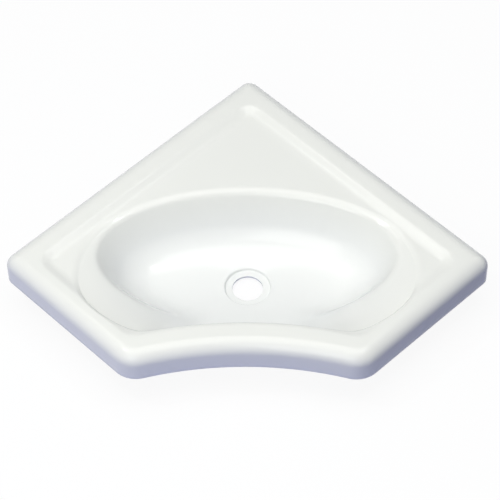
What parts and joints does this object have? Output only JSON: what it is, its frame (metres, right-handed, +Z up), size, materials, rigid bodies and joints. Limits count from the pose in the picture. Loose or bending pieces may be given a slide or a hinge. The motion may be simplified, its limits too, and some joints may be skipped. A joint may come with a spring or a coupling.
{
  "type": "corner basin",
  "caption": "Glossy white corner basin: two wall sides at a right angle, short returns, concave front, rolled edge and skirt, flat rear deck, kidney bowl with a recessed waste hole.",
  "frame": {"origin": "on the waste hole's axis, in the plane of the skirt's bottom edge", "axes": "+X to the right as seen from the front, +Y into the corner of the two walls, +Z up"},
  "size_m": [0.5952, 0.4543, 0.0853],
  "materials": {
    "moulding": "high gloss formed sheet, warm white",
    "plywood": "raw birch plywood",
    "timber": "raw planed softwood",
    "backing": "matte moulded plastic, pale grey",
    "angle_steel": "zinc plated steel",
    "screw_steel": "zinc plated steel"
  },
  "bodies": {
    "root": {"basin_shell": "moulding", "deck_board": "plywood", "rear_gusset": "timber", "left_wall_batten": "timber", "right_wall_batten": "timber", "left_return_batten": "timber", "right_return_batten": "timber", "front_batten": "timber", "left_side_block": "timber", "right_side_block": "timber", "left_front_block": "timber", "right_front_block": "timber", "waste_backing_ring": "backing", "left_wall_angle": "angle_steel", "right_wall_angle": "angle_steel", "left_return_angle": "angle_steel", "right_return_angle": "angle_steel", "front_angle": "angle_steel", "angle_screws": "screw_steel", "gusset_screws": "screw_steel"}
  },
  "joints": []
}
